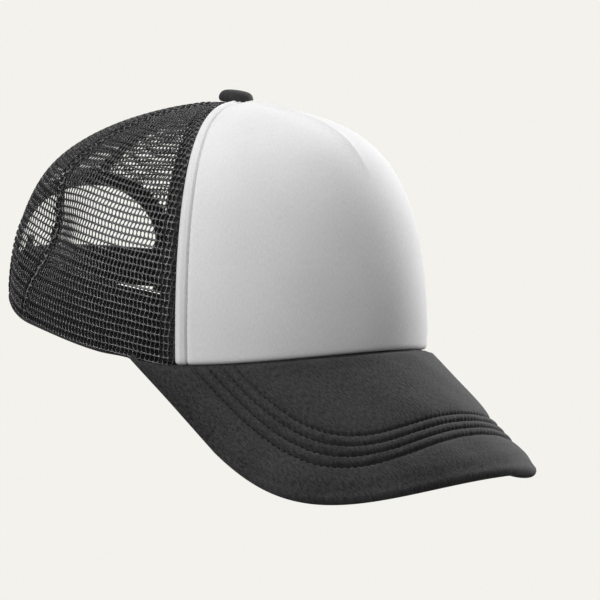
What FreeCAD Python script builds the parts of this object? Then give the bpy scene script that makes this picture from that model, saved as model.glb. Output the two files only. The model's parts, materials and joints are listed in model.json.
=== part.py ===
"""Trucker cap: foam front, four mesh panels, arched brim, fabric button and a snap strap at the back.

Millimetres. +Z is up, the brim points along -Y and the wearer's left is +X. The origin is the centre
of the head opening, in the plane of its rim at the back. Plan angles are in degrees from the front
centre, positive towards the wearer's left; rise angles go from 0 at the rim to 90 under the button.
"""
import FreeCAD, Part
import math
import os

V = FreeCAD.Vector
os.makedirs("parts", exist_ok=True)

# Head opening and crown
HALF_LENGTH = 100.0
HALF_WIDTH = 83.5
CROWN_HEIGHT = 98.5
APEX_SETBACK = 3.0
RISE_TOP = 87.8
# How square the crown's profile is, and how far it bellies out, from the front to the back
SQUARENESS = [(0, 3.1), (50, 2.95), (90, 2.2), (130, 2.04), (180, 1.87)]
BELLY = [(0, -0.13), (90, -0.036), (130, 0.09), (180, -0.03)]
# The soft mesh sinks in at the side seams above the sweatband: share of the radius, then the
# middle and reach of the hollow in plan angle and in rise
HOLLOW = 0.095
HOLLOW_ANGLE = (117.0, 30.0)
HOLLOW_RISE = (21.0, 25.0)
# Behind the front seams the soft mesh also drops under the button, swells at the sides and draws in
# at the rim: share of the crown's height or radius, rise where it is greatest, and reach
SOFTNESS = [(76, 0.0), (101, 1.0)]
SOFT_DROP = (0.018, 68.0, 17.0)
SOFT_SWELL = (0.017, 39.0, 12.0)
SOFT_DRAW = (0.0145, 7.0, 16.0)

# Rim: it rides up over the arched brim, dips at the brim's ends and is level at the back
FRONT_RIM_LIFT = 7.2
ARCH_BLEND = (55.0, 80.0)
SIDE_RIM = [(112, -4.0), (145, 0.5), (180, 0.0)]

# Seams, as plan angles at the rim and at the button
FRONT_SEAM = (62.9, 77.0)
SIDE_SEAM = (116.5, 120.0)

# Cloth thicknesses, outside face inwards
FACE_CLOTH = 0.6
FOAM = 2.8
MESH = 0.9
TAPE = 0.5
THREAD = 0.35
GLUE = 0.1

# Brim
BRIM_SLOPE = 30.0
BRIM_ARCH_RADIUS = 90.4
BRIM_LENGTH = 71.0
BRIM_HALF_WIDTH = 97.5
BRIM_ROOT = -59.5
BRIM_END_ANGLE = 73.0
BRIM_REACH = 82.0
BRIM_FRONT_POWER = 5.0
BRIM_SIDE_POWER = 1.9
BRIM_COVER = 0.8
BRIM_FOAM = 2.0
BRIM_BOARD = 1.4
BRIM_EDGE_WRAP = 1.2
BRIM_END_WRAP = 1.0          # degrees
BRIM_FIT = 0.25
STITCH_ROWS = 4
STITCH_INSET_FRONT = 20.3
STITCH_INSET_SIDE = 16.0
STITCH_PITCH_FRONT = 4.1
STITCH_PITCH_SIDE = 4.2
STITCH_POWER = 4.2
STITCH_WIDTH = 0.8

# Sweatband and rim binding
SWEATBAND_HEIGHT = 27.8
SWEATBAND_CLOTH = 0.8
SWEATBAND_FOAM = 1.5
SWEATBAND_SETBACK = 1.5
SWEATBAND_DEPTH = [(0, 3.6), (66, 3.6), (82, 2.6), (118, 2.6), (140, 5.0), (180, 5.0)]
BINDING_GAP = 0.4
BINDING_DROP = 1.6
BINDING_OUTSIDE = [(0, 1.1), (73, 3.0), (78, 3.0), (84, 0.0), (101, 0.8), (180, 0.8)]

# Rear opening, snap strap
OPENING_HALF_WIDTH = 46.0
OPENING_SPRING_HEIGHT = 20.0
OPENING_HEIGHT = 50.0
ARCH_TAPE_WIDTH = 6.0
STRAP_LOW = 1.0
STRAP_ROOT_INSET = 2.0
STRAP_HEIGHT = 18.2
STRAP_THICKNESS = 1.4
STRAP_DEPTH = 3.0
STRAP_GAP = 0.4
STRAP_OVERHANG = 37.0
STRAP_DIP = 7.5
STRAP_TAB = 14.0
LABEL_HEIGHTS = (2.5, 23.5)
TACK_DISTANCES = (9.2, 13.2)
SNAPS = 7
SNAP_PITCH = 10.0
SNAP_MIDDLE = (SNAPS - 1) / 2
PEG_RADIUS = 1.9
HOLE_RADIUS = 2.4
PEG_PROUD = 0.5
HINGE_GAP = 0.4

# Button
BUTTON_RADIUS = 7.5
BUTTON_HEIGHT = 4.6
BUTTON_CLOTH = 0.7
SHANK_RADIUS = 1.6

END_ANGLE = 180.0 - math.degrees(math.asin(OPENING_HALF_WIDTH / HALF_WIDTH))


def off_centre(angle):
    """Plan angle from the front centre, between 0 and 180 on either side."""
    return abs((angle + 180) % 360 - 180)


def eased(stations, angle):
    """Value at a plan angle, eased between (angle, value) stations; the same on both sides."""
    angle = off_centre(angle)
    if angle <= stations[0][0]:
        return stations[0][1]
    for (start, first), (end, second) in zip(stations, stations[1:]):
        if angle <= end:
            t = (angle - start) / (end - start)
            return first + (second - first) * t * t * (3 - 2 * t)
    return stations[-1][1]


def oval(angle, depth=0.0):
    """Plan point of the rim oval, moved inwards by depth."""
    a = math.radians(angle)
    point = V(HALF_WIDTH * math.sin(a), -HALF_LENGTH * math.cos(a), 0)
    outward = V(math.sin(a) / HALF_WIDTH, -math.cos(a) / HALF_LENGTH, 0)
    return point - outward.normalize() * depth


# ---- Brim surface: a sheet bent round an axis that slopes down to the front ----

def brim_point(along, across, lift=0.0):
    """Point of the bent brim: along its axis, across it by arc length, and lift off its top face."""
    slope = math.radians(BRIM_SLOPE)
    turn = across / BRIM_ARCH_RADIUS
    radius = BRIM_ARCH_RADIUS + lift
    up = radius * math.cos(turn) - BRIM_ARCH_RADIUS
    forward = along * math.cos(slope) + up * math.sin(slope)
    height = FRONT_RIM_LIFT - along * math.sin(slope) + up * math.cos(slope)
    return V(radius * math.sin(turn), -HALF_LENGTH - forward, height)


def brim_coordinates(x, y):
    """The along and across of the point of the brim's top face that lies over a plan point."""
    slope = math.radians(BRIM_SLOPE)
    turn = math.asin(x / BRIM_ARCH_RADIUS)
    up = BRIM_ARCH_RADIUS * (math.cos(turn) - 1)
    along = (-HALF_LENGTH - y - up * math.sin(slope)) / math.cos(slope)
    return along, turn * BRIM_ARCH_RADIUS


def brim_outline(sweep, inset_front=0.0, inset_side=0.0, powers=(BRIM_FRONT_POWER, BRIM_SIDE_POWER)):
    """Rounded brim outline, sweep from -90 at the right end to 90 at the left end."""
    s = math.radians(sweep)
    length = BRIM_LENGTH - inset_front - BRIM_ROOT
    width = BRIM_HALF_WIDTH - inset_side
    along = BRIM_ROOT + length * abs(math.cos(s)) ** (2 / powers[0])
    across = math.copysign(width * abs(math.sin(s)) ** (2 / powers[1]), s)
    return along, across


# ---- Crown surface ----

def rim_height(angle):
    """Height of the rim: on the brim's arch in front, then eased round the side to the level back."""
    angle = off_centre(angle)
    start, end = ARCH_BLEND

    def on_arch(a):
        point = oval(a)
        return brim_point(*brim_coordinates(point.x, point.y)).z

    if angle <= start:
        return on_arch(angle)
    behind = eased([(end, on_arch(end))] + SIDE_RIM, angle)
    if angle >= end:
        return behind
    t = (angle - start) / (end - start)
    blend = t * t * (3 - 2 * t)
    return on_arch(angle) * (1 - blend) + behind * blend


def hollow(angle, rise):
    """Share of the radius by which the mesh sinks in at a plan angle and a rise."""
    depth = HOLLOW
    for value, (middle, reach) in ((off_centre(angle), HOLLOW_ANGLE), (rise, HOLLOW_RISE)):
        away = min(abs(value - middle) / reach, 1.0)
        depth *= math.cos(math.radians(90) * away) ** 4
    return depth


def hump(shape, rise):
    """Smooth hump over the rise, from its height, middle and reach."""
    height, middle, reach = shape
    return height * math.exp(-((rise - middle) / reach) ** 2)


def crown_surface(angle, rise):
    """Point of the crown's outside face."""
    power = eased(SQUARENESS, angle)
    r = math.radians(max(rise, 0.0))
    radius = (math.cos(r) ** power + math.sin(r) ** power) ** (-1 / power)
    inward = radius * math.cos(r)
    upward = radius * math.sin(r)
    swell = math.atan(math.tan(r) ** (power / 2))
    inward += eased(BELLY, angle) * math.sin(2 * swell) * (1 - swell / math.radians(90))
    inward -= hollow(angle, rise)
    soft = eased(SOFTNESS, angle)
    inward += soft * (hump(SOFT_SWELL, rise) - hump(SOFT_DRAW, rise))
    upward -= soft * hump(SOFT_DROP, rise)
    rim = oval(angle)
    base = rim_height(angle)
    return V(rim.x * inward,
             APEX_SETBACK + (rim.y - APEX_SETBACK) * inward,
             base + (CROWN_HEIGHT - base) * upward)


def crown_point(angle, rise, depth=0.0):
    """Point at a depth below the crown's outside face; a negative depth stands proud."""
    step = 0.05
    point = crown_surface(angle, rise)
    if depth == 0:
        return point
    round_rim = crown_surface(angle + step, rise) - crown_surface(angle - step, rise)
    up = crown_surface(angle, rise + step) - crown_surface(angle, rise - step)
    outward = round_rim.cross(up)
    return point - outward.normalize() * depth


def seam_angle(seam, rise):
    """Plan angle of a seam at a rise."""
    return seam[0] + (seam[1] - seam[0]) * rise / 90


def rise_at(angle, height):
    """Rise at which the crown is a height above its rim."""
    low, high = 0.0, 80.0
    target = rim_height(angle) + height
    for _ in range(30):
        middle = (low + high) / 2
        if crown_surface(angle, middle).z < target:
            low = middle
        else:
            high = middle
    return low


def angle_beside(angle, rise, offset):
    """Plan angle a distance along the surface from another, at one rise."""
    step = 0.1
    length = (crown_surface(angle + step, rise) - crown_surface(angle, rise)).Length
    return angle + step * offset / length


# ---- Solids ----

def spaced(low, high, count):
    return [low + (high - low) * i / (count - 1) for i in range(count)]


def solid_between(outer, inner):
    """Closed solid between two grids of points of the same shape."""
    surfaces = []
    for grid in (outer, inner):
        surface = Part.BSplineSurface()
        surface.interpolate(grid)
        surfaces.append(surface)
    faces = [surface.toShape() for surface in surfaces]
    bounds = [surface.bounds() for surface in surfaces]
    for side in range(4):
        edges = []
        for surface, limits in zip(surfaces, bounds):
            iso = surface.uIso if side < 2 else surface.vIso
            edges.append(iso(limits[side]).toShape())
        faces.append(Part.makeRuledSurface(*edges))
    shell = Part.makeShell(faces)
    shell.sewShape()
    solid = Part.makeSolid(shell)
    if solid.Volume < 0:
        shell.reverse()
        solid = Part.makeSolid(shell)
    return solid


def crown_piece(low_angle, high_angle, low_rise, high_rise, depths, columns=11, rows=27):
    """Shell piece of the crown; the limits are functions of the rise or of the angle."""
    grids = []
    for depth in depths:
        grid = []
        for v in spaced(0, 1, rows):
            line = []
            for u in spaced(0, 1, columns):
                middle = (low_angle(0) + high_angle(0)) / 2
                rise = low_rise(middle) + (high_rise(middle) - low_rise(middle)) * v
                angle = low_angle(rise) + (high_angle(rise) - low_angle(rise)) * u
                rise = low_rise(angle) + (high_rise(angle) - low_rise(angle)) * v
                here = depth(angle) if callable(depth) else depth
                line.append(crown_point(angle, rise, here))
            grid.append(line)
        grids.append(grid)
    return solid_between(*grids)


def constant(value):
    return lambda _: value


def on_side(side, seam):
    """A seam's plan angle as a function of the rise, on the right (-1) or the left (1)."""
    return lambda rise: side * seam_angle(seam, rise)


def panel(low, high, depths, **counts):
    """Panel from the rim to the button between two seams."""
    return crown_piece(low, high, constant(0), constant(RISE_TOP), depths, **counts)


def seam_strip(centre, offsets, rises, depths):
    """Narrow strip that runs up a seam, its edges offset from it along the surface."""
    low, high = sorted(offsets)
    edge = [lambda rise, o=o: angle_beside(centre(rise), rise, o) for o in (low, high)]
    return crown_piece(edge[0], edge[1], constant(rises[0]), constant(rises[1]), depths,
                       columns=3, rows=27)


def rim_band(low_angle, high_angle, height, depths):
    """Band inside the crown that stands on the rim."""
    return crown_piece(constant(low_angle), constant(high_angle), constant(0),
                       lambda angle: rise_at(angle, height), depths, columns=61, rows=7)


def brim_slab(high, low, inset=0.0, ends=0.0, root=0.0):
    """Layer of the brim between two lifts, with its outline drawn in by an inset.

    ends moves its two ends round by degrees, and root carries it in under the rim by a distance.
    """
    grids = []
    for lift in (high, low):
        grid = []
        for v in spaced(0, 1, 7):
            line = []
            for u in spaced(-1, 1, 49):
                foot = oval(u * (BRIM_END_ANGLE + ends), -GLUE)
                along, across = brim_coordinates(foot.x, foot.y)
                far = brim_outline(u * (BRIM_REACH + ends), inset, inset)
                along -= root
                line.append(brim_point(along + (far[0] - along) * v, across + (far[1] - across) * v, lift))
            grid.append(line)
        grids.append(grid)
    return solid_between(*grids)


def stitch_row(index):
    """One row of stitching on the brim, from rim to rim."""
    inset_front = STITCH_INSET_FRONT + index * STITCH_PITCH_FRONT
    inset_side = STITCH_INSET_SIDE + index * STITCH_PITCH_SIDE
    powers = (STITCH_POWER, STITCH_POWER)

    def outside_rim(sweep):
        point = brim_point(*brim_outline(sweep, inset_front, inset_side, powers))
        return math.hypot(point.x / HALF_WIDTH, point.y / HALF_LENGTH) > 1.02

    reach = 89.0
    while not outside_rim(reach):
        reach -= 0.5
    grids = []
    for lift in (THREAD + GLUE, GLUE):
        grid = []
        for edge in (-0.5, 0.0, 0.5):
            inset = edge * STITCH_WIDTH
            line = []
            for sweep in spaced(-reach, reach, 61):
                spot = brim_outline(sweep, inset_front + inset, inset_side + inset, powers)
                line.append(brim_point(*spot, lift))
            grid.append(line)
        grids.append(grid)
    return solid_between(*grids)


# ---- Rear opening and strap ----

def opening_outline(turn, margin=0.0):
    """Point (x, z) of the rear opening's outline seen from behind: an arch that springs from two posts.

    turn goes from -1 at the foot of the right post to 1 at the foot of the left one.
    """
    post = 0.3
    width = OPENING_HALF_WIDTH + margin
    if abs(turn) > 1 - post:
        climb = (1 - abs(turn)) / post
        return math.copysign(width, turn), OPENING_SPRING_HEIGHT * climb
    t = math.radians(90) * turn / (1 - post)
    rise = OPENING_HEIGHT - OPENING_SPRING_HEIGHT + margin
    return width * math.sin(t), OPENING_SPRING_HEIGHT + rise * math.cos(t)


def opening_prism():
    """Prism with the rear opening's outline, through the back of the crown."""
    outline = [V(x, 40, z) for x, z in (opening_outline(turn) for turn in spaced(-0.7, 0.7, 15))]
    arch = Part.BSplineCurve()
    arch.interpolate(outline)
    foot_left = V(OPENING_HALF_WIDTH, 40, -20)
    foot_right = V(-OPENING_HALF_WIDTH, 40, -20)
    sides = [Part.makeLine(outline[-1], foot_left), Part.makeLine(foot_left, foot_right),
             Part.makeLine(foot_right, outline[0])]
    return Part.Face(Part.Wire([arch.toShape()] + sides)).extrude(V(0, 100, 0))


def crown_behind(x, z, depth):
    """Point of the crown's back at a sideways position and a height."""
    angle = 180 - math.degrees(math.asin(x / HALF_WIDTH))
    for _ in range(12):
        low, high = 0.0, 80.0
        for _ in range(24):
            rise = (low + high) / 2
            if crown_surface(angle, rise).z < z:
                low = rise
            else:
                high = rise
        angle += math.degrees((crown_surface(angle, low).x - x) / HALF_WIDTH)
    return crown_point(angle, low, depth)


def arch_binding():
    """Tape folded over the edge of the rear opening: an outside face, an inside face and the fold."""
    def strip(margins, depths):
        grids = []
        for depth in depths:
            grid = []
            for margin in (margins[0], sum(margins) / 2, margins[1]):
                line = []
                for turn in spaced(-0.98, 0.98, 41):
                    x, z = opening_outline(turn, margin)
                    line.append(crown_behind(x, z, depth))
                grid.append(line)
            grids.append(grid)
        return solid_between(*grids)

    outside = strip((0.0, ARCH_TAPE_WIDTH), (-TAPE - GLUE, -GLUE))
    inside = strip((0.0, ARCH_TAPE_WIDTH), (MESH + GLUE, MESH + GLUE + TAPE))
    fold = strip((-TAPE - GLUE, -GLUE), (-TAPE - GLUE, MESH + GLUE + TAPE))
    return Part.makeCompound([outside, inside, fold])


def strap_angle(distance):
    """Plan angle at a distance round the rim from the centre back, positive to the wearer's left."""
    return 180 - math.degrees(distance / HALF_WIDTH)


def strap_reach():
    """Distance round the rim from the centre back to a strap's root."""
    return math.radians(180 - END_ANGLE) * HALF_WIDTH - STRAP_ROOT_INSET


def strap_band(start, end, depth):
    """Upright strap between two arc distances; depth is a function of the distance."""
    grids = []
    for skin in (0.0, STRAP_THICKNESS):
        grid = []
        for height in (0.0, STRAP_HEIGHT / 2, STRAP_HEIGHT):
            line = []
            for distance in spaced(start, end, 25):
                point = oval(strap_angle(distance), depth(distance) + skin)
                line.append(point + V(0, 0, STRAP_LOW + height))
            grid.append(line)
        grids.append(grid)
    return solid_between(*grids)


def strap_outward(distance):
    """Outward direction of the strap at an arc distance."""
    angle = strap_angle(distance)
    return (oval(angle) - oval(angle, 1.0)).normalize()


def socket_depth(_):
    return STRAP_DEPTH


def peg_depth(distance):
    """The peg strap dips inwards from its root so that it lies under the socket strap."""
    t = min(max((distance + strap_reach()) / STRAP_DIP, 0.0), 1.0)
    return STRAP_DEPTH + (STRAP_THICKNESS + STRAP_GAP) * t * t * (3 - 2 * t)


def hinge_point(side):
    """Foot of a strap's bending line, at its root in the middle of its thickness."""
    return oval(strap_angle(side * strap_reach()), STRAP_DEPTH + STRAP_THICKNESS / 2)


def knuckle(side):
    """Rounded root of a tongue, centred on its bending line."""
    return Part.makeCylinder(STRAP_THICKNESS / 2, STRAP_HEIGHT, hinge_point(side) + V(0, 0, STRAP_LOW))


def snap_rod(distance, radius, low, high):
    """Round bar through the strap, from one depth to another, at mid height."""
    foot = oval(strap_angle(distance), high) + V(0, 0, STRAP_LOW + STRAP_HEIGHT / 2)
    return Part.makeCylinder(radius, high - low, foot, strap_outward(distance))


def socket_tongue():
    body = strap_band(strap_reach(), -STRAP_OVERHANG, socket_depth).fuse(knuckle(1))
    for i in range(SNAPS):
        body = body.cut(snap_rod((i - SNAP_MIDDLE) * SNAP_PITCH, HOLE_RADIUS, -2.0, 8.0))
    return body.removeSplitter()


def peg_tongue():
    body = strap_band(-strap_reach(), STRAP_OVERHANG, peg_depth).fuse(knuckle(-1))
    for i in range(SNAPS):
        distance = (SNAP_MIDDLE - i) * SNAP_PITCH
        root = peg_depth(distance) + STRAP_THICKNESS / 2
        body = body.fuse(snap_rod(distance, PEG_RADIUS, STRAP_DEPTH - PEG_PROUD, root))
    return body.removeSplitter()


def strap_tab(side):
    """Sewn end of a strap, between the mesh and the sweatband."""
    inner = side * (strap_reach() + STRAP_THICKNESS / 2 + HINGE_GAP)
    outer = side * (strap_reach() + STRAP_TAB)
    return strap_band(inner, outer, socket_depth)


def bar_tacks(side):
    """Two upright rows of stitches that hold a strap's end, on the outside of the mesh."""
    rows = []
    for distance in TACK_DISTANCES:
        angle = side * (END_ANGLE - math.degrees(distance / HALF_WIDTH))
        rows.append(seam_strip(constant(angle), (-0.4, 0.4),
                               (rise_at(angle, 2.0), rise_at(angle, 17.0)), (-THREAD - GLUE, -GLUE)))
    return Part.makeCompound(rows)


# ---- Button ----

def turned(profile):
    """Solid of revolution about the button's axis; the profile is (radius, height) points."""
    axis = V(0, APEX_SETBACK, CROWN_HEIGHT)
    points = [axis + V(radius, 0, height) for radius, height in profile]
    face = Part.Face(Part.makePolygon(points + points[:1]))
    return face.revolve(axis, V(0, 0, 1), 360)


def dome(radius, top, shoulder, count=7):
    """Profile of a flat dome from its foot to its crown."""
    points = [(radius, 0.0)]
    for turn in spaced(0, 90, count):
        t = math.radians(turn)
        points.append((radius - shoulder * (1 - math.cos(t)), top - shoulder * (1 - math.sin(t))))
    points.append((0.0, top + 0.4))
    return points


def button_cover():
    inside = dome(BUTTON_RADIUS - BUTTON_CLOTH, BUTTON_HEIGHT - BUTTON_CLOTH, 1.4)
    return turned(dome(BUTTON_RADIUS, BUTTON_HEIGHT, 1.8) + inside[::-1])


def button_cap():
    outer = dome(BUTTON_RADIUS - BUTTON_CLOTH, BUTTON_HEIGHT - BUTTON_CLOTH, 1.4)
    inner = dome(BUTTON_RADIUS - BUTTON_CLOTH - 0.5, BUTTON_HEIGHT - BUTTON_CLOTH - 0.5, 1.0)
    return turned(outer + inner[::-1])


def button_rivet():
    """Shank that clamps the panels between the cap and a washer inside the crown."""
    under = -FACE_CLOTH - FOAM - TAPE - 3 * GLUE
    roof = BUTTON_HEIGHT - BUTTON_CLOTH - 0.7
    return turned([(0, roof), (4.0, roof), (4.0, roof - 0.6), (SHANK_RADIUS, roof - 0.6),
                   (SHANK_RADIUS, under - 0.8), (0, under - 0.8)])


def button_washer():
    under = -FACE_CLOTH - FOAM - TAPE - 3 * GLUE
    return turned([(SHANK_RADIUS, under), (6.5, under), (6.5, under - 0.8), (SHANK_RADIUS, under - 0.8)])


# ---- Assembly ----

def rim_binding():
    """Folded strip under the rim that joins panels, sweatband and brim."""
    limit = END_ANGLE - SWEATBAND_SETBACK
    grids = []
    for drop in (BINDING_GAP, BINDING_DROP):
        grid = []
        for across in (0.0, 0.5, 1.0):
            line = []
            for angle in spaced(-limit, limit, 97):
                outside = eased(BINDING_OUTSIDE, angle)
                inside = eased(SWEATBAND_DEPTH, angle) + SWEATBAND_FOAM + SWEATBAND_CLOTH
                depth = outside + (inside - outside) * across
                line.append(oval(angle, depth) + V(0, 0, rim_height(angle) - drop))
            grid.append(line)
        grids.append(grid)
    return solid_between(*grids)


def brim_covers():
    """Top and under covers; each turns over the brim's edge and meets the other half way down."""
    foam_top = -BRIM_COVER
    board_top = foam_top - BRIM_FOAM
    board_low = board_top - BRIM_BOARD
    under = board_low - BRIM_COVER
    middle = under / 2
    hollow_limits = (BRIM_EDGE_WRAP, -BRIM_END_WRAP, 2.0)
    filling_top = brim_slab(foam_top, middle - 1.0, *hollow_limits)
    filling_low = brim_slab(middle + 1.0, board_low, *hollow_limits)
    top = brim_slab(0.0, middle + GLUE / 2).cut(filling_top)
    low = brim_slab(middle - GLUE / 2, under).cut(filling_low)
    return top, low


def care_label():
    """Blank folded label, sewn to the top edge of the sweatband at the back."""
    depth = SWEATBAND_DEPTH[-1][1] + SWEATBAND_FOAM + SWEATBAND_CLOTH + 2 * GLUE

    def low(angle):
        return rise_at(angle, LABEL_HEIGHTS[0])

    def high(angle):
        return rise_at(angle, LABEL_HEIGHTS[1])

    return crown_piece(constant(-144.0), constant(-136.0), low, high, (depth, depth + 0.4), rows=5)


def build():
    """Every node of the cap, by name."""
    nodes = {}
    front_low, front_high = on_side(-1, FRONT_SEAM), on_side(1, FRONT_SEAM)
    inside_foam = FACE_CLOTH + FOAM
    nodes["front_panel_cloth"] = panel(front_low, front_high, (0.0, FACE_CLOTH), columns=25)
    nodes["front_panel_foam"] = panel(front_low, front_high, (FACE_CLOTH + GLUE, inside_foam), columns=25)

    opening = opening_prism()
    for side, name in ((-1, "right"), (1, "left")):
        seam_front = on_side(side, FRONT_SEAM)
        seam_side = on_side(side, SIDE_SEAM)
        limits = (seam_side, seam_front) if side < 0 else (seam_front, seam_side)
        nodes["side_mesh_" + name] = panel(*limits, (0.0, MESH))
        limits = (constant(-180), seam_side) if side < 0 else (seam_side, constant(180))
        nodes["back_mesh_" + name] = panel(*limits, (0.0, MESH)).cut(opening)
        under_mesh = (MESH + GLUE, MESH + GLUE + TAPE)
        clear_of_seam = (MESH + 2 * GLUE, MESH + 2 * GLUE + TAPE)
        nodes["front_seam_tape_" + name] = seam_strip(seam_front, (side * 0.3, side * 6.0), (0.5, 78.0),
                                                       clear_of_seam)
        nodes["side_seam_tape_" + name] = seam_strip(seam_side, (-3.5, 3.5), (0.5, 84.0), under_mesh)
        nodes["front_topstitch_" + name] = seam_strip(seam_front, (-side * 5.2, -side * 5.8), (0.5, 76.0),
                                                      (-THREAD - GLUE, -GLUE))
        nodes["strap_bar_tacks_" + name] = bar_tacks(side)

    above_arch = rise_at(180, OPENING_HEIGHT + 7.0)
    centre_back = seam_strip(constant(180), (-4.0, 4.0), (above_arch, 84.0),
                             (MESH + GLUE, MESH + GLUE + TAPE))
    nodes["centre_back_seam_tape"] = centre_back
    nodes["dart_seam_tape"] = seam_strip(constant(0), (-5.0, 5.0), (48.0, 82.0),
                                         (inside_foam + GLUE, inside_foam + GLUE + TAPE))
    nodes["arch_binding"] = arch_binding()

    nodes["rim_binding"] = rim_binding()
    band = lambda extra: lambda angle: eased(SWEATBAND_DEPTH, angle) + extra
    middle = SWEATBAND_FOAM
    inside = SWEATBAND_FOAM + SWEATBAND_CLOTH
    limit = END_ANGLE - SWEATBAND_SETBACK
    nodes["sweatband_foam"] = rim_band(-limit, limit, SWEATBAND_HEIGHT, (band(0), band(middle)))
    nodes["sweatband_cloth"] = rim_band(-limit, limit, SWEATBAND_HEIGHT, (band(middle + GLUE), band(inside)))
    nodes["care_label"] = care_label()

    nodes["brim_top_cover"], nodes["brim_under_cover"] = brim_covers()
    board_top = -BRIM_COVER - BRIM_FOAM
    filling_limits = (BRIM_EDGE_WRAP + 2 * BRIM_FIT, -2 * BRIM_END_WRAP, -2 * BRIM_FIT)
    nodes["brim_foam"] = brim_slab(-BRIM_COVER - BRIM_FIT, board_top, *filling_limits)
    nodes["brim_board"] = brim_slab(board_top - GLUE, board_top - BRIM_BOARD + BRIM_FIT, *filling_limits)
    for index in range(STITCH_ROWS):
        nodes["brim_stitch_row_%d" % (index + 1)] = stitch_row(index)

    nodes["button_cover"] = button_cover()
    nodes["button_cap"] = button_cap()
    nodes["button_rivet"] = button_rivet()
    nodes["button_washer"] = button_washer()

    nodes["socket_strap_tab"] = strap_tab(1)
    nodes["socket_strap_tongue"] = socket_tongue()
    nodes["peg_strap_tab"] = strap_tab(-1)
    nodes["peg_strap_tongue"] = peg_tongue()
    return nodes


for node_name, shape in build().items():
    shape.exportStep("parts/%s.step" % node_name)
    print("%-26s valid %s solids %d volume %.0f" % (node_name, shape.isValid(), len(shape.Solids), shape.Volume))
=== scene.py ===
"""Looks of the trucker cap: net, foam front, quilted brim, bindings, snap strap, light and camera.

Shapes are worked out in millimetres in the frame of the CAD part (+Z up, brim along -Y, the wearer's
left +X, plan angles from the front centre) and scaled to metres where each mesh is made.
"""

import json
import math

import bpy
import numpy as np
from mathutils import Matrix, Vector

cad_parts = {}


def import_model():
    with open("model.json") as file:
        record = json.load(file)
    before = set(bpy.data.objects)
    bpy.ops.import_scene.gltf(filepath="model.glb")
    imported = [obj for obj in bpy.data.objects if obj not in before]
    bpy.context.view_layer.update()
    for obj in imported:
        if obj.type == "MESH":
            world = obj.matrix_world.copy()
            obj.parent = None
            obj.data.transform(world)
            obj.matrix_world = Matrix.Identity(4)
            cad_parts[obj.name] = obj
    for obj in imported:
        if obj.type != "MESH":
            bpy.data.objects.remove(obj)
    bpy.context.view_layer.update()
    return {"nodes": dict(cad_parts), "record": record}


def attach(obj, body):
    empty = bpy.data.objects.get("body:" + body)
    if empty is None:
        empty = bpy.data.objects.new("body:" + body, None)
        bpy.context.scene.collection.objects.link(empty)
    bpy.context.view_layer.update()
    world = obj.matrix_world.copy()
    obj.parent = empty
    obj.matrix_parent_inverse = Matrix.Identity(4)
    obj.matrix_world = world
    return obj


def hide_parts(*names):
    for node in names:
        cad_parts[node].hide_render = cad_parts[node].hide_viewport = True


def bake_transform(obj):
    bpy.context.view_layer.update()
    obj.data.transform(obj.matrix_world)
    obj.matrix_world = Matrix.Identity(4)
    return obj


MM = 0.001
SIDES = ((-1, "right"), (1, "left"))

# Crown, as in the CAD part
HALF_LENGTH = 100.0
HALF_WIDTH = 83.5
CROWN_HEIGHT = 98.5
APEX_SETBACK = 3.0
RISE_TOP = 87.8
SQUARENESS = [(0, 3.1), (50, 2.95), (90, 2.2), (130, 2.04), (180, 1.87)]
BELLY = [(0, -0.13), (90, -0.036), (130, 0.09), (180, -0.03)]
HOLLOW = 0.095
HOLLOW_ANGLE = (117.0, 30.0)
HOLLOW_RISE = (21.0, 25.0)
SOFTNESS = [(76, 0.0), (101, 1.0)]
SOFT_DROP = (0.018, 68.0, 17.0)
SOFT_SWELL = (0.017, 39.0, 12.0)
SOFT_DRAW = (0.0145, 7.0, 16.0)
FRONT_RIM_LIFT = 7.2
ARCH_BLEND = (55.0, 80.0)
SIDE_RIM = [(112, -4.0), (145, 0.5), (180, 0.0)]
FRONT_SEAM = (62.9, 77.0)
SIDE_SEAM = (116.5, 120.0)
END_ANGLE = 146.57

# Brim, as in the CAD part
BRIM_SLOPE = 30.0
BRIM_ARCH_RADIUS = 90.4
BRIM_LENGTH = 71.0
BRIM_HALF_WIDTH = 97.5
BRIM_ROOT = -59.5
BRIM_END_ANGLE = 73.0
BRIM_REACH = 82.0
BRIM_POWERS = (5.0, 1.9)
BRIM_THICKNESS = 5.0
STITCH_INSETS = (20.3, 16.0)
STITCH_PITCHES = (4.1, 4.2)
STITCH_POWER = 4.2
STITCH_ROWS = 4

# Net: one mesh of it is a leaning oval hole between two strands and two bars
NET_COLUMN = 2.0
NET_ROW = 2.9
NET_LEAN = 0.62
NET_HOLE = (0.79, 1.10)
NET_DEPTH = 0.45
NET_STRAND = 0.26
NET_BAR = 0.36

# Rear opening
OPENING_HALF_WIDTH = 46.0
OPENING_SPRING_HEIGHT = 20.0
OPENING_HEIGHT = 50.0


# ---- Crown surface ----

def off_centre(angle):
    return np.abs((np.asarray(angle, float) + 180) % 360 - 180)


def smooth(t):
    t = np.clip(t, 0, 1)
    return t * t * (3 - 2 * t)


def eased(stations, angle):
    """Value at a plan angle, eased between (angle, value) stations; the same on both sides."""
    angle = off_centre(angle)
    value = np.full(angle.shape, float(stations[0][1]))
    for (start, first), (end, second) in zip(stations, stations[1:]):
        value += (second - first) * smooth((angle - start) / (end - start))
    return value


def oval(angle, depth=0.0, height=0.0):
    """Plan point of the rim oval, moved inwards by depth, at a height."""
    a = np.radians(angle)
    out = np.stack([np.sin(a) / HALF_WIDTH, -np.cos(a) / HALF_LENGTH], -1)
    out /= np.linalg.norm(out, axis=-1, keepdims=True)
    x = HALF_WIDTH * np.sin(a) - out[..., 0] * depth
    y = -HALF_LENGTH * np.cos(a) - out[..., 1] * depth
    return np.stack([x, y, np.broadcast_to(height, x.shape)], -1)


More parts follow.
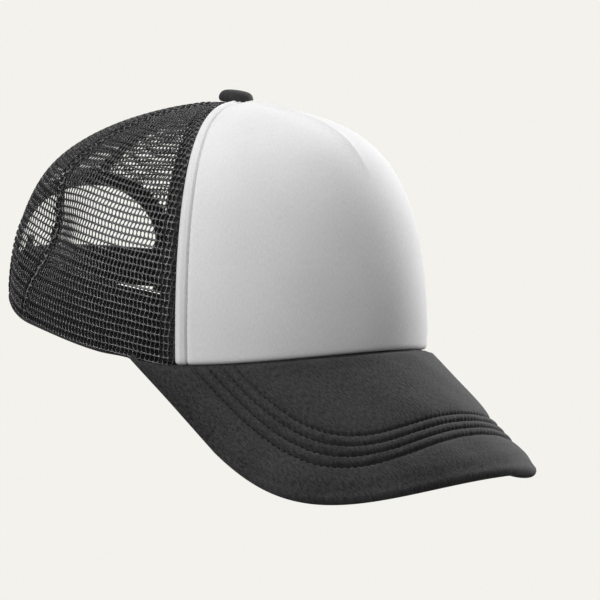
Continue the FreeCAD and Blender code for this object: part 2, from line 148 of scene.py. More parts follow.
def brim_point(along, across, lift=0.0):
    """Point of the bent brim: along its axis, across it by arc length, and lift off its top face."""
    slope = math.radians(BRIM_SLOPE)
    turn = across / BRIM_ARCH_RADIUS
    radius = BRIM_ARCH_RADIUS + lift
    up = radius * np.cos(turn) - BRIM_ARCH_RADIUS
    forward = along * math.cos(slope) + up * math.sin(slope)
    height = FRONT_RIM_LIFT - along * math.sin(slope) + up * math.cos(slope)
    return np.stack([radius * np.sin(turn), -HALF_LENGTH - forward, height], -1)


def brim_coordinates(x, y):
    """The along and across of the point of the brim's top face that lies over a plan point."""
    slope = math.radians(BRIM_SLOPE)
    turn = np.arcsin(np.clip(x / BRIM_ARCH_RADIUS, -1, 1))
    up = BRIM_ARCH_RADIUS * (np.cos(turn) - 1)
    along = (-HALF_LENGTH - y - up * math.sin(slope)) / math.cos(slope)
    return along, turn * BRIM_ARCH_RADIUS


def on_arch(angle):
    """Height of the brim's top face over the rim oval."""
    point = oval(angle)
    return brim_point(*brim_coordinates(point[..., 0], point[..., 1]))[..., 2]


def rim_height(angle):
    """Height of the rim: on the brim's arch in front, then eased round the side to the level back."""
    angle = off_centre(angle)
    start, end = ARCH_BLEND
    behind = eased([(end, float(on_arch(end)))] + SIDE_RIM, angle)
    blend = smooth((angle - start) / (end - start))
    return on_arch(np.minimum(angle, end)) * (1 - blend) + behind * blend


def hollow(angle, rise):
    """Share of the radius by which the net sinks in at the side seams, above the sweatband."""
    depth = HOLLOW
    for value, (middle, reach) in ((off_centre(angle), HOLLOW_ANGLE), (rise, HOLLOW_RISE)):
        away = np.minimum(np.abs(value - middle) / reach, 1.0)
        depth = depth * np.cos(np.radians(90) * away) ** 4
    return depth


def hump(shape, rise):
    """Smooth hump over the rise, from its height, middle and reach."""
    height, middle, reach = shape
    return height * np.exp(-((rise - middle) / reach) ** 2)


def crown_surface(angle, rise):
    """Point of the crown's outside face."""
    angle, rise = np.broadcast_arrays(np.asarray(angle, float), np.asarray(rise, float))
    power = eased(SQUARENESS, angle)
    r = np.radians(np.clip(rise, 0.0, 89.9))
    radius = (np.cos(r) ** power + np.sin(r) ** power) ** (-1 / power)
    inward = radius * np.cos(r)
    upward = radius * np.sin(r)
    swell = np.arctan(np.tan(r) ** (power / 2))
    inward = inward + eased(BELLY, angle) * np.sin(2 * swell) * (1 - swell / math.radians(90))
    inward = inward - hollow(angle, rise)
    soft = eased(SOFTNESS, angle)
    inward = inward + soft * (hump(SOFT_SWELL, rise) - hump(SOFT_DRAW, rise))
    upward = upward - soft * hump(SOFT_DROP, rise)
    rim = oval(angle)
    base = rim_height(angle)
    return np.stack([rim[..., 0] * inward,
                     APEX_SETBACK + (rim[..., 1] - APEX_SETBACK) * inward,
                     base + (CROWN_HEIGHT - base) * upward], -1)


def unit(vectors):
    return vectors / np.maximum(np.linalg.norm(vectors, axis=-1, keepdims=True), 1e-9)


def crown_axes(angle, rise):
    """Outward direction of the crown, and millimetres per degree of plan angle."""
    step = 0.05
    low = np.maximum(rise - step, 0.0)
    round_rim = crown_surface(angle + step, rise) - crown_surface(angle - step, rise)
    up = crown_surface(angle, rise + step) - crown_surface(angle, low)
    return unit(np.cross(round_rim, up)), np.linalg.norm(round_rim, axis=-1) / (2 * step)


def crown_point(angle, rise, depth=0.0):
    """Point at a depth below the crown's outside face; a negative depth stands proud."""
    angle, rise = np.broadcast_arrays(np.asarray(angle, float), np.asarray(rise, float))
    outward, _ = crown_axes(angle, rise)
    return crown_surface(angle, rise) - outward * np.asarray(depth)[..., None]


def seam_angle(seam, rise):
    return seam[0] + (seam[1] - seam[0]) * rise / 90


class Climb:
    """Distance up the crown from the rim as a function of plan angle and rise, and its inverse."""

    angles = np.arange(-184.0, 185.0, 2.0)
    rises = np.linspace(0, 88.5, 178)
    heights = np.arange(0.0, 160.0, 1.0)

    def __init__(self):
        points = crown_surface(self.angles[:, None], self.rises[None, :])
        steps = np.linalg.norm(np.diff(points, axis=1), axis=-1)
        self.lengths = np.concatenate([np.zeros((len(self.angles), 1)), np.cumsum(steps, 1)], 1)
        self.table = np.array([np.interp(self.heights, line, self.rises) for line in self.lengths])

    def look_up(self, table, keys, angle, key):
        place = (np.asarray(angle) - self.angles[0]) / 2.0
        first = np.clip(place.astype(int), 0, len(self.angles) - 2)
        share = place - first
        spot = np.interp(key, keys, np.arange(len(keys)))
        low = np.clip(spot.astype(int), 0, len(keys) - 2)
        part = spot - low
        near = table[first, low] * (1 - part) + table[first, low + 1] * part
        far = table[first + 1, low] * (1 - part) + table[first + 1, low + 1] * part
        return near * (1 - share) + far * share

    def rise(self, angle, distance):
        return self.look_up(self.table, self.heights, angle, distance)

    def distance(self, angle, rise):
        return self.look_up(self.lengths, self.rises, angle, rise)


CLIMB = Climb()


# ---- Mesh helpers ----

def grid_faces(rows, columns, flip=False, start=0):
    """Quads of a grid of points, row by row."""
    corner = start + (np.arange(rows - 1)[:, None] * columns + np.arange(columns - 1)[None, :]).ravel()
    quads = np.stack([corner, corner + 1, corner + columns + 1, corner + columns], 1)
    return quads[:, ::-1] if flip else quads


def slab(outer, inner, flip=False):
    """Closed sheet between two grids of points of the same shape."""
    rows, columns, _ = outer.shape
    count = rows * columns
    rim = np.concatenate([np.arange(columns),
                          np.arange(1, rows) * columns + columns - 1,
                          (rows - 1) * columns + np.arange(columns - 2, -1, -1),
                          np.arange(rows - 2, 0, -1) * columns])
    after = np.roll(rim, -1)
    walls = np.stack([rim, rim + count, after + count, after], 1)
    faces = [grid_faces(rows, columns, flip), grid_faces(rows, columns, not flip, count),
             walls[:, ::-1] if flip else walls]
    points = np.concatenate([outer.reshape(-1, 3), inner.reshape(-1, 3)])
    return points, np.concatenate(faces)


def weld(points, faces, grain=0.004):
    """Joins points that coincide, and drops triangles that this closes."""
    keys = np.round(points / grain).astype(np.int64)
    _, first, back = np.unique(keys, axis=0, return_index=True, return_inverse=True)
    faces = back.ravel()[faces]
    a, b, c = faces.T
    keep = (a != b) & (b != c) & (c != a)
    return points[first], faces[keep]


def cloth_map(across, up):
    """Map of a grid along its cloth, from millimetres across and up it. Both faces of a slab share it."""
    return (np.stack(np.broadcast_arrays(across, up), -1) * MM).reshape(-1, 2)


def bisected(under, low, high, shape, steps=30):
    """Point by point, the value between low and high where under(value) stops being true."""
    low, high = np.full(shape, low), np.full(shape, high)
    for _ in range(steps):
        middle = (low + high) / 2
        below = under(middle)
        low = np.where(below, middle, low)
        high = np.where(below, high, middle)
    return low


def travelled(points):
    """Distance along a line of points, from its first."""
    return np.concatenate([[0.0], np.cumsum(np.linalg.norm(np.diff(points, axis=0), axis=1))])


def join(parts):
    """One mesh of several (points, faces) pairs."""
    points, faces, start = [], [], 0
    for some_points, some_faces in parts:
        points.append(some_points)
        faces.append(np.asarray(some_faces) + start)
        start += len(some_points)
    return np.concatenate(points), np.concatenate(faces)


def make_piece(name, shape, look, slot, replaces=(), body="crown", uv=None, crease=50.0):
    """Shown piece from (points in millimetres, faces); it stands for the CAD nodes it replaces."""
    points, faces = shape
    mesh = bpy.data.meshes.new(name)
    mesh.from_pydata((points * MM).tolist(), [], faces.tolist())
    mesh.shade_smooth()
    mesh.set_sharp_from_angle(angle=math.radians(crease))
    mesh.materials.append(look[slot])
    if uv is not None:
        corners = np.empty(len(mesh.loops), np.int32)
        mesh.loops.foreach_get("vertex_index", corners)
        layer = mesh.uv_layers.new(name="cloth")
        layer.data.foreach_set("uv", np.asarray(uv, np.float32)[corners % len(uv)].ravel())
    piece = bpy.data.objects.new(name, mesh)
    bpy.context.scene.collection.objects.link(piece)
    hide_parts(*replaces)
    if body:
        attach(piece, body)
    return piece


def capsule(length, radius, around=8, along=7):
    """Rounded stitch that lies along X, as points and triangles round the origin."""
    turn = np.linspace(-90, 90, along)
    t = np.radians(turn)
    x = np.sin(t) * length / 2
    r = radius * np.cos(t) ** 0.6
    phi = np.linspace(0, 2 * math.pi, around, endpoint=False)
    points = np.stack([np.repeat(x, around),
                       (r[:, None] * np.cos(phi)).ravel(),
                       (r[:, None] * np.sin(phi)).ravel()], 1)
    faces = []
    for i in range(along - 1):
        for j in range(around):
            a, b = i * around + j, i * around + (j + 1) % around
            faces.append((a, b, b + around, a + around))
    return points, np.array(faces)


def stitches(path, outward, pitch, length, radius, sink=0.0, twist=0.0):
    """Row of single stitches along a path of points with an outward direction at each.

    TOPSTITCH, SEAM_STITCH, ARCH_STITCH and TACK_STITCH give pitch, length, radius, sink and twist in
    this order; BRIM_THREAD gives all but the pitch.
    """
    travel = travelled(path)
    places = np.arange(pitch / 2, travel[-1], pitch)
    centre = np.stack([np.interp(places, travel, path[:, k]) for k in range(3)], 1)
    ahead = np.stack([np.interp(places + 0.4, travel, path[:, k]) for k in range(3)], 1)
    up = unit(np.stack([np.interp(places, travel, outward[:, k]) for k in range(3)], 1))
    forward = unit(ahead - centre + 1e-9)
    side = np.cross(up, forward)
    forward = unit(forward + side * twist)
    side = np.cross(up, forward)
    points, faces = capsule(length, radius)
    parts = []
    for c, f, s, u in zip(centre, forward, side, up):
        parts.append((c - u * sink + points @ np.array([f, s, u]), faces))
    return join(parts)


# ---- Materials ----

def node(tree, kind, settings=None, **inputs):
    """Shader node with its settings, and inputs given as values or as another node's output."""
    made = tree.nodes.new("ShaderNode" + kind)
    for key, value in (settings or {}).items():
        setattr(made, key, value)
    for key, value in inputs.items():
        socket = made.inputs[int(key[1:]) if key[0] == "i" and key[1:].isdigit() else key.replace("_", " ")]
        if isinstance(value, bpy.types.NodeSocket):
            tree.links.new(value, socket)
        else:
            socket.default_value = value
    return made


def start_material(name, **constants):
    """Material with a Principled shader whose even values sit on its own sockets."""
    material = bpy.data.materials.new(name)
    material.use_nodes = True
    surface = material.node_tree.nodes["Principled BSDF"]
    for key, value in constants.items():
        surface.inputs[key.replace("_", " ")].default_value = value
    return material, material.node_tree, surface


def shades(tree, factor, *stops):
    """Colour ramp through (position, grey or colour) stops."""
    ramp = node(tree, "ValToRGB", i0=factor)
    points = ramp.color_ramp.elements
    while len(points) < len(stops):
        points.new(0.5)
    for point, (position, colour) in zip(points, stops):
        point.position = position
        colour = colour if isinstance(colour, tuple) else (colour,) * 3
        point.color = (*colour, 1)
    return ramp.outputs["Color"]


def cloth_place(tree, scale, surface_map):
    """Coordinates for a texture: along the cloth where it has a map, otherwise in space."""
    source = node(tree, "TexCoord").outputs["UV" if surface_map else "Object"]
    return node(tree, "Mapping", None, Vector=source, Scale=scale).outputs["Vector"]


def noise(tree, place, detail=2.0, roughness=0.5, distortion=0.0):
    return node(tree, "TexNoise", None, Vector=place, Scale=1.0, Detail=detail, Roughness=roughness,
                Distortion=distortion).outputs["Fac"]


def bump(tree, surface, height, distance, strength=1.0):
    made = node(tree, "Bump", None, Height=height, Distance=distance, Strength=strength)
    tree.links.new(made.outputs["Normal"], surface.inputs["Normal"])


def maths(tree, operation, first, second):
    return node(tree, "Math", {"operation": operation}, i0=first, i1=second).outputs[0]


def mixture(tree, first, second, share):
    """Mix of two values, from the first one's share."""
    rest = maths(tree, "MULTIPLY", second, 1 - share)
    return maths(tree, "ADD", maths(tree, "MULTIPLY", first, share), rest)


def paint(tree, surface, value, dark, light):
    """Base colour from a value, between a dark and a light (position, colour) stop."""
    tree.links.new(shades(tree, value, dark, light), surface.inputs["Base Color"])


def roughen(tree, surface, value, low, high):
    """Roughness from a value, between two limits."""
    rough = node(tree, "MapRange", None, Value=value, To_Min=low, To_Max=high)
    tree.links.new(rough.outputs["Result"], surface.inputs["Roughness"])


def knit_material(name, dark, light, sheen, rib, fuzz, depth, tint=None):
    """Brushed knit: upright ribs of stretched loops under a fine fuzz."""
    material, tree, surface = start_material(name, Roughness=0.9, Sheen_Weight=sheen, Sheen_Roughness=0.45,
                                             Specular_IOR_Level=0.25)
    loops = noise(tree, cloth_place(tree, (1 / rib, 0.36 / rib, 1 / rib), True), 2.0, 0.6)
    hairs = noise(tree, cloth_place(tree, (1 / fuzz,) * 3, False), 3.0, 0.65)
    patches = noise(tree, cloth_place(tree, (45.0,) * 3, False), 2.0, 0.5)
    mixed = mixture(tree, loops, hairs, 0.6)
    paint(tree, surface, mixture(tree, mixed, patches, 0.8), (0.3, dark), (0.7, light))
    if tint is not None:
        surface.inputs["Sheen Tint"].default_value = (*tint, 1)
    bump(tree, surface, mixed, depth)
    return material


def yarn_material(name, dark, light, roughness, twist, depth, gloss=0.5):
    """Thread or net yarn: fine filaments with a low gloss."""
    material, tree, surface = start_material(name, IOR=1.65, Specular_IOR_Level=gloss)
    fibres = noise(tree, cloth_place(tree, (1 / twist,) * 3, False), 3.0, 0.6, 0.4)
    paint(tree, surface, fibres, (0.3, dark), (0.75, light))
    roughen(tree, surface, fibres, roughness - 0.1, roughness + 0.15)
    bump(tree, surface, fibres, depth)
    return material


def woven_material(name, dark, light, pitch, roughness):
    """Woven tape: crossing threads at one pitch."""
    material, tree, surface = start_material(name, Roughness=roughness, Sheen_Weight=0.1,
                                             Specular_IOR_Level=0.4)
    place = cloth_place(tree, (1 / pitch,) * 3, True)
    warp, weft = (node(tree, "TexWave", {"bands_direction": way}, Vector=place, Scale=0.32, Distortion=0.6,
                       Detail=1.0).outputs["Fac"] for way in "XY")
    cross = maths(tree, "MULTIPLY", warp, weft)
    fuzz = noise(tree, cloth_place(tree, (2500.0,) * 3, False), 2.0)
    height = mixture(tree, cross, fuzz, 0.7)
    paint(tree, surface, height, (0.1, dark), (0.8, light))
    bump(tree, surface, height, 0.0002)
    return material


def foam_material(name, dark, light):
    """Cut foam: small open cells."""
    material, tree, surface = start_material(name, Roughness=0.95, Specular_IOR_Level=0.2)
    place = cloth_place(tree, (1400.0,) * 3, False)
    cells = node(tree, "TexVoronoi", None, Vector=place, Scale=1.0).outputs["Distance"]
    soil = noise(tree, cloth_place(tree, (60.0,) * 3, False), 3.0)
    paint(tree, surface, mixture(tree, cells, soil, 0.7), (0.15, dark), (0.6, light))
    bump(tree, surface, cells, 0.0003, 0.6)
    return material


def moulded_material(name, dark, light, roughness):
    """Moulded plastic: faint orange peel and handling marks."""
    material, tree, surface = start_material(name, Specular_IOR_Level=0.45)
    peel = noise(tree, cloth_place(tree, (900.0,) * 3, False), 3.0)
    marks = noise(tree, cloth_place(tree, (120.0,) * 3, False), 5.0, 0.7)
    paint(tree, surface, marks, (0.3, dark), (0.8, light))
    roughen(tree, surface, marks, roughness - 0.08, roughness + 0.12)
    bump(tree, surface, peel, 0.00006)
    return material


def steel_material(name):
    """Pressed and lacquered steel."""
    material, tree, surface = start_material(name, Metallic=0.85)
    marks = noise(tree, cloth_place(tree, (700.0,) * 3, False), 4.0, 0.7)
    paint(tree, surface, marks, (0.3, (0.16, 0.16, 0.17)), (0.7, (0.32, 0.32, 0.33)))
    roughen(tree, surface, marks, 0.3, 0.55)
    bump(tree, surface, marks, 0.00005)
    return material


def make_materials():
    return {
        "white_knit": knit_material("white_knit", 0.70, 0.84, 0.05, 0.0007, 0.0005, 0.00016),
        "brim_cloth": knit_material("brim_cloth", (0.0, 0.0, 0.0), (0.066, 0.066, 0.068), 0.1,
                                    0.0008, 0.0007, 0.0006, tint=(0.8, 0.8, 0.82)),
        "black_mesh": yarn_material("black_mesh", 0.001, 0.008, 0.24, 0.0005, 0.0002, 0.75),
        "black_tape": woven_material("black_tape", 0.006, 0.022, 0.0009, 0.7),
        "white_thread": yarn_material("white_thread", 0.38, 0.6, 0.6, 0.0003, 0.0001),
        "black_thread": yarn_material("black_thread", 0.002, 0.01, 0.55, 0.0003, 0.0001, 0.3),
        "sweatband_cloth": knit_material("sweatband_cloth", 0.008, 0.03, 0.25, 0.0012, 0.0006, 0.0004),
        "foam": foam_material("foam", 0.55, 0.74),
        "band_foam": foam_material("band_foam", 0.008, 0.02),
        "label_satin": woven_material("label_satin", 0.6, 0.78, 0.0004, 0.45),
        "board_plastic": moulded_material("board_plastic", 0.42, 0.5, 0.5),
        "button_steel": steel_material("button_steel"),
        "strap_plastic": moulded_material("strap_plastic", 0.008, 0.02, 0.42),
    }


# ---- Net ----

SEAM_CREASE = 1.5
SEAM_CREASE_REACH = 1.1
OPENING_TRIM = 1.5


def cell_template(lean):
    """One mesh of the net as (x, y, lift) rings: crest of its yarns, their flank, and the hole's edge."""
    crest_x = np.array([1, 1, 0.75, 0.5, 0.25, 0, 0, 0, 0.25, 0.5, 0.75, 1])
    crest_y = np.array([0.5, 1, 1, 1, 1, 1, 0.5, 0, 0, 0, 0, 0])
    lift = np.array([NET_STRAND, NET_BAR, 0.3, 0.26, 0.3, NET_BAR] * 2)
    turn = np.radians([0, 38, 66, 90, 114, 142, 180, 218, 246, 270, 294, 322])
    x = (crest_x - 0.5) * NET_COLUMN
    y = (crest_y - 0.5) * NET_ROW
    hole_x = NET_HOLE[0] * np.sign(np.cos(turn)) * np.abs(np.cos(turn)) ** 0.85
    hole_y = NET_HOLE[1] * np.sin(turn)
    slant = lean * NET_LEAN / NET_ROW
    rings = [(x, y, lift), (hole_x * 0.6 + x * 0.4, hole_y * 0.62 + y * 0.38, lift * 0.82),
             (hole_x, hole_y, lift * 0)]
    front = [np.stack([u + slant * v, v, w], 1) for u, v, w in rings]
    back = [ring * (1, 1, -1) for ring in front]
    return np.concatenate([front[0], front[1], front[2], back[1], back[0]])


def cell_faces():
    """Triangles between the five rings of a cell."""
    faces = []
    count = 12
    for ring in range(4):
        for k in range(count):
            a = ring * count + k
            b = ring * count + (k + 1) % count
            faces += [(a, a + count, b), (b, a + count, b + count)]
    return np.array(faces)


def row_curves(low, high, samples=48):
    """For each millimetre up the crown, plan angles across a panel and the distances between them."""
    heights = np.arange(0.0, 150.0, 1.0)
    middle = (low(0.0) + high(0.0)) / 2
    angles, spans = [], []
    for height in heights:
        rise = float(CLIMB.rise(middle, height))
        line = np.linspace(low(rise), high(rise), samples)
        rises = CLIMB.rise(line, height)
        line = low(rises) + (high(rises) - low(rises)) * np.linspace(0, 1, samples)
        points = crown_surface(line, CLIMB.rise(line, height))
        travel = travelled(points)
        angles.append(line)
        spans.append(travel - travel[-1] / 2)
    return heights, np.array(angles), np.array(spans)


def seam_sink(angle, rise):
    """Depth of the crease that the sewing pulls into the net at its seams."""
    _, per_degree = crown_axes(angle, rise)
    sink = 0.0
    for seam in (180.0, seam_angle(SIDE_SEAM, rise), seam_angle(FRONT_SEAM, rise)):
        away = (off_centre(angle) - seam) * per_degree
        sink = sink + SEAM_CREASE * np.exp(-(away / SEAM_CREASE_REACH) ** 2)
    return sink


def in_opening(x, z, margin):
    """Whether a point of the back lies in the rear opening, grown by a margin."""
    width = OPENING_HALF_WIDTH + margin
    rise = OPENING_HEIGHT - OPENING_SPRING_HEIGHT + margin
    arch = (x / width) ** 2 + (np.maximum(z - OPENING_SPRING_HEIGHT, 0) / rise) ** 2
    return arch < 1


def net_panel(low, high, back):
    """Open net between two seams, cut back to the rear opening's tape on a back panel."""
    heights, angles, spans = row_curves(low, high)
    faces = cell_faces()
    found = []
    top = float(CLIMB.distance((low(0.0) + high(0.0)) / 2, RISE_TOP))
    for row in range(int(top / NET_ROW) + 1):
        lean = 1 if row % 2 == 0 else -1
        template = cell_template(lean)
        centre_t = (row + 0.5) * NET_ROW
        level = min(int(centre_t), len(heights) - 2)
        reach = spans[level][-1] + NET_COLUMN
        count = int(reach / NET_COLUMN) + 1
        columns = np.arange(-count, count + 1) * NET_COLUMN
        s = (columns[:, None] + template[None, :, 0]).ravel()
        t = centre_t + np.tile(template[:, 1], len(columns))
        lift = np.tile(template[:, 2], len(columns))
        s = s + 0.25 * np.sin(t / 9.0 + s / 23.0) + 0.12 * np.sin(t / 3.1 + s / 6.0)
        t = np.clip(t + 0.22 * np.sin(s / 11.0 + t / 17.0), 0.0, top)
        angle = np.empty(len(s))
        for value in np.unique(np.round(t, 1)):
            some = np.round(t, 1) == value
            index = min(int(value), len(heights) - 2)
            part = value - index
            line = angles[index] * (1 - part) + angles[index + 1] * part
            span = spans[index] * (1 - part) + spans[index + 1] * part
            angle[some] = np.interp(s[some], span, line)
        rise = CLIMB.rise(angle, t)
        span_end = np.interp(t, heights, spans[:, -1])
        outside = (np.abs(s) > span_end).reshape(len(columns), -1).all(1)
        points = crown_point(angle, rise, NET_DEPTH - lift + seam_sink(angle, rise))
        cells = points.reshape(len(columns), -1, 3)
        keep = ~outside
        if back:
            keep &= ~in_opening(cells[..., 0], cells[..., 2], OPENING_TRIM).any(1)
        found.append(cells[keep])
    cells = np.concatenate(found)
    count = cells.shape[1]
    all_faces = (faces[None] + np.arange(len(cells))[:, None, None] * count).reshape(-1, 3)
    return weld(cells.reshape(-1, 3), all_faces)


def seam_line(side, seam):
    """Plan angle of one side's seam as a function of the rise."""
    return lambda rise: side * seam_angle(seam, rise)


def level_line(angle):
    """One plan angle all the way up, as a function of the rise."""
    return lambda rise: angle + 0 * rise


def build_net(look):
    for side, name in SIDES:
        front, middle = seam_line(side, FRONT_SEAM), seam_line(side, SIDE_SEAM)
        back = level_line(side * 180.0)
        for part, seams in (("side", (front, middle)), ("back", (middle, back))):
            low, high = seams[::side]
            make_piece("%s_net_%s" % (part, name), net_panel(low, high, part == "back"), look, "black_mesh",
                       ["%s_mesh_%s" % (part, name)], crease=180)


# ---- Front panel ----

TOPSTITCH_AWAY = 5.5
FINE_STRIP = 9.0
PANEL_ROUNDING = 2.6
TOPSTITCH = (3.2, 2.5, 0.24, 0.05)
TOPSTITCH_GROOVE = (1.5, 0.38)
DART_RIDGE = (1.5, 4.0)
PANEL_SWELL = 0.25
PANEL_CLOTH = 0.55
PANEL_FOAM = (0.65, 3.4)
DART_RISE = (40.0, 56.0)


def rolled(distance, radius):
    """Drop of a rounded edge at a distance from it."""
    short = np.clip(1 - distance / radius, 0, 1)
    return radius * (1 - np.sqrt(1 - short ** 2))


def panel_relief(angle, rise):
    """How far the foam front stands out: rolled edges, topstitch channel, dart ridge and soft swells."""
    _, per_degree = crown_axes(angle, rise)
    from_seam = (seam_angle(FRONT_SEAM, rise) - np.abs(angle)) * per_degree
    from_rim = CLIMB.distance(angle, rise)
    from_centre = np.abs(angle) * per_degree
    relief = -rolled(from_seam, PANEL_ROUNDING) - rolled(from_rim, PANEL_ROUNDING)
    depth, reach = TOPSTITCH_GROOVE
    relief -= depth * np.exp(-((from_seam - TOPSTITCH_AWAY) / reach) ** 2)
    relief += 0.5 * np.exp(-((from_seam - TOPSTITCH_AWAY / 2) / 1.5) ** 2)
    relief += 0.3 * smooth((from_seam - TOPSTITCH_AWAY) / 2.5)
    dart = smooth((rise - DART_RISE[0]) / (DART_RISE[1] - DART_RISE[0])) * smooth((88 - rise) / 4)
    relief += dart * DART_RIDGE[0] * np.exp(-from_centre / DART_RIDGE[1])
    inside = smooth(from_seam / 20) * smooth(from_rim / 20)
    relief += PANEL_SWELL * np.sin(angle / 9.0 + rise / 14.0) * inside
    pucker = smooth((rise - 78) / 8)
    relief += PANEL_SWELL * pucker * np.sin(np.radians(angle) * 16)
    return relief


def panel_grid(depth, rows=170, fine=42, wide=72):
    """Grid of the foam front at a depth under its relief, fine beside the seams, and its cloth map."""
    rise = np.linspace(0, RISE_TOP, rows)[:, None]
    seam = seam_angle(FRONT_SEAM, rise)
    _, per_degree = crown_axes(seam, rise)
    strip = np.minimum(FINE_STRIP / (per_degree * seam), 0.5)
    outer = 1 - strip * np.linspace(0, 1, fine)
    inner = (1 - strip) * np.linspace(1, 0, wide)[1:]
    half = np.concatenate([outer, inner], axis=1)
    angle = seam * np.concatenate([-half, half[:, -2::-1]], axis=1)
    rise = rise * np.ones(angle.shape)
    points = crown_point(angle, rise, depth - panel_relief(angle, rise))
    _, per_degree = crown_axes(angle, rise)
    return points, cloth_map(angle * per_degree, CLIMB.distance(angle, rise))


def topstitch_path(side, away):
    rise = np.linspace(1.5, 74, 160)
    centre = side * seam_angle(FRONT_SEAM, rise)
    _, per_degree = crown_axes(centre, rise)
    angle = centre - side * away / per_degree
    outward, _ = crown_axes(angle, rise)
    return crown_point(angle, rise, -panel_relief(angle, rise)), outward


def build_front(look):
    outer, uv = panel_grid(0.0)
    middle, _ = panel_grid(PANEL_CLOTH)
    skin = make_piece("front_panel_knit", slab(outer, middle), look, "white_knit", ["front_panel_cloth"],
                      uv=uv)
    deeper, inner = (panel_grid(depth)[0] for depth in PANEL_FOAM)
    foam = make_piece("front_panel_padding", slab(deeper, inner), look, "foam", ["front_panel_foam"])
    for side, name in SIDES:
        path, outward = topstitch_path(side, TOPSTITCH_AWAY)
        make_piece("front_stitches_" + name, stitches(path, outward, *TOPSTITCH),
                   look, "white_thread", ["front_topstitch_" + name])


# ---- Brim ----

EDGE_RADIUS = BRIM_THICKNESS / 2
EDGE_SWELL = 1.3
END_SWELL = 0.8
BRIM_STITCH = 2.7
BRIM_THREAD = (2.1, 0.34, -0.1, 0.12)
GROOVE = 1.15
NEEDLE_PULL = (0.32, 0.38)
ROLL_BETWEEN = 0.85
ROLL_OUTSIDE = (1.1, 0.6)
ROLL_INSIDE = (1.5, 0.8)
UNDERSIDE_PUFF = 0.45
COVER_THICKNESS = 0.7
ROOT_OUTSIDE = 0.1
END_TUCK = 2.4
END_TUCK_START = 62.0
FINE_ROWS = [(0.0, 0.14, 0.9, 1.0), (0.0, 0.4, 0.88, 1.0)]


def brim_outline(sweep, inset, powers=BRIM_POWERS):
    """Rounded brim outline drawn in by an inset; sweep runs from -90 on the right to 90 on the left."""
    front, side = inset
    s = np.radians(sweep)
    length = BRIM_LENGTH - front - BRIM_ROOT
    width = BRIM_HALF_WIDTH - side
    along = BRIM_ROOT + length * np.abs(np.cos(s)) ** (2 / powers[0])
    across = np.sign(s) * width * np.abs(np.sin(s)) ** (2 / powers[1])
    return along, across


def row_inset(index):
    """How far a stitch row is drawn in from the brim's edge, in front and at the sides."""
    return tuple(inset + index * pitch for inset, pitch in zip(STITCH_INSETS, STITCH_PITCHES))


def row_number(along, across):
    """Stitch row on which a point of the brim lies, from 0 outermost; it goes on between and past them."""
    forward = np.maximum(along - BRIM_ROOT, 0.01)

    def inside(row):
        length = BRIM_LENGTH - STITCH_INSETS[0] - row * STITCH_PITCHES[0] - BRIM_ROOT
        width = BRIM_HALF_WIDTH - STITCH_INSETS[1] - row * STITCH_PITCHES[1]
        return (forward / length) ** STITCH_POWER + (np.abs(across) / width) ** STITCH_POWER < 1

    return bisected(inside, -8.0, 14.0, np.shape(along))


def row_sweep(index, along, across):
    """Sweep at which a point lies along a stitch row's outline."""
    length = BRIM_LENGTH - STITCH_INSETS[0] - index * STITCH_PITCHES[0] - BRIM_ROOT
    forward = np.maximum(along - BRIM_ROOT, 0.01) / length
    sideways = np.abs(across) / (BRIM_HALF_WIDTH - STITCH_INSETS[1] - index * STITCH_PITCHES[1])
    return np.sign(across) * np.degrees(np.arctan((sideways / forward) ** (STITCH_POWER / 2)))


def row_travel(index):
    """Distance along a stitch row from its centre, as a table of sweep and distance."""
    sweep = np.linspace(-89.9, 89.9, 1800)
    along, across = brim_outline(sweep, row_inset(index), (STITCH_POWER,) * 2)
    travel = np.concatenate([[0.0], np.cumsum(np.hypot(np.diff(along), np.diff(across)))])
    return sweep, travel - travel[-1] / 2


ROW_TRAVEL = [row_travel(index) for index in range(STITCH_ROWS)]


def stitch_phase(index, along, across):
    """Place between two needle holes of a stitch row: 0 at a hole, 1 in the middle of a stitch."""
    sweep, travel = ROW_TRAVEL[index]
    distance = np.interp(row_sweep(index, along, across), sweep, travel)
    return np.abs(np.sin(math.pi * distance / BRIM_STITCH))


def brim_relief(along, across):
    """Quilting of the brim: grooves at the stitch rows, pulled in at the needle holes, and soft rolls."""
    q = row_number(along, across)
    last = STITCH_ROWS - 1
    between = np.where((q > 0) & (q < last), ROLL_BETWEEN * np.abs(np.sin(math.pi * q)) ** 0.7, 0.0)
    outside = ROLL_OUTSIDE[0] * (1 - np.exp(np.minimum(q, 0) / ROLL_OUTSIDE[1]))
    inside = ROLL_INSIDE[0] * (1 - np.exp(-np.maximum(q - last, 0) / ROLL_INSIDE[1]))
    relief = between + np.where(q < 0, outside, 0) + np.where(q > last, inside, 0)
    for index in range(STITCH_ROWS):
        phase = stitch_phase(index, along, across)
        away = q - index
        relief -= GROOVE * (1.0 - 0.25 * phase) * np.exp(-(away / (0.13 + 0.05 * (1 - phase))) ** 2)
        relief -= NEEDLE_PULL[0] * (1 - phase) * np.exp(-(np.abs(away) / NEEDLE_PULL[1]) ** 1.5)
    wave = 0.12 * np.sin(across / 7.0 + along / 11.0) + 0.1 * np.sin(across / 3.3 - along / 5.0)
    return relief + wave * 0.6


